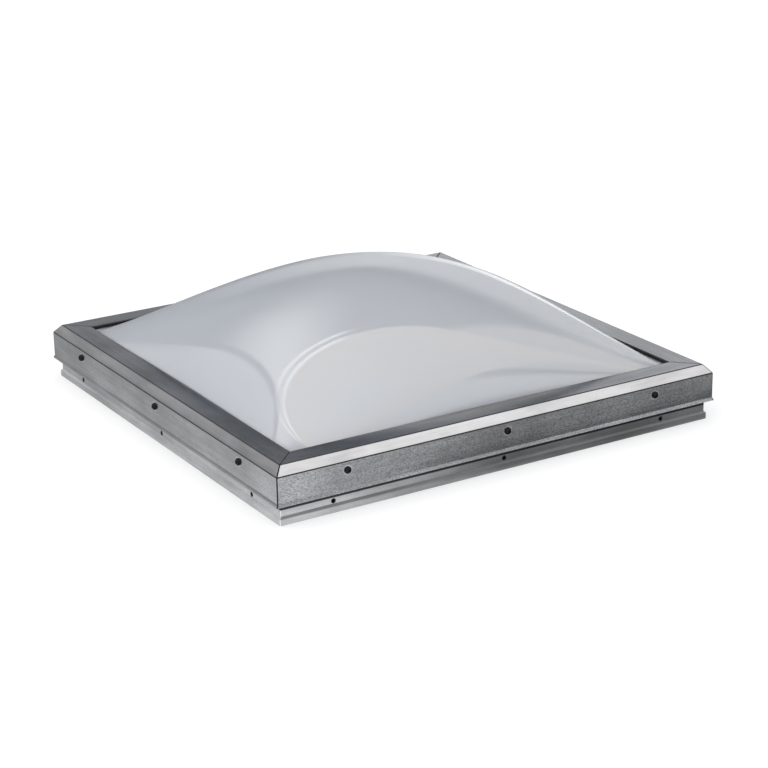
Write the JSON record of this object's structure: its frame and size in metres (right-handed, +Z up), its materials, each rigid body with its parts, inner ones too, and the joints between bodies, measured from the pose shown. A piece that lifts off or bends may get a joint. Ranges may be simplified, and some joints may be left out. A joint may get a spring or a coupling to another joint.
{
  "type": "curb-mounted dome skylight",
  "caption": "Square curb-mounted roof skylight: a white acrylic dome over a clear inner dome, clamped by mitred aluminium caps on an aluminium curb frame.",
  "frame": {"origin": "on the vertical axis of the dome, at the bottom edge of the curb frame's legs", "axes": "+Z up along the dome's axis, +X to the right-hand side, -Y to the front side"},
  "size_m": [0.6882, 0.6882, 0.1946],
  "materials": {
    "white_acrylic": "glossy opal white",
    "clear_acrylic": "glossy clear",
    "cap_aluminium": "mill finish, fine grain along the length",
    "frame_aluminium": "mill finish with drawing lines along the length",
    "cast_aluminium": "cast",
    "black_rubber": "matt",
    "foam_tape": "matt foam",
    "dark_screw": "black oxide, semi-gloss"
  },
  "bodies": {
    "root": {"outer_dome": "white_acrylic", "inner_dome": "clear_acrylic", "retainer_front": "cap_aluminium", "retainer_right": "cap_aluminium", "retainer_back": "cap_aluminium", "retainer_left": "cap_aluminium", "curb_frame_front": "frame_aluminium", "curb_frame_right": "frame_aluminium", "curb_frame_back": "frame_aluminium", "curb_frame_left": "frame_aluminium", "glazing_strip_front": "black_rubber", "glazing_strip_right": "black_rubber", "glazing_strip_back": "black_rubber", "glazing_strip_left": "black_rubber", "corner_key_front_right": "cast_aluminium", "corner_key_back_right": "cast_aluminium", "corner_key_back_left": "cast_aluminium", "corner_key_front_left": "cast_aluminium", "dome_spacer_tape": "foam_tape", "sill_tape": "foam_tape", "curb_seal": "foam_tape", "setting_blocks": "black_rubber", "retaining_screws": "dark_screw", "sealing_washers": "black_rubber"}
  },
  "joints": []
}
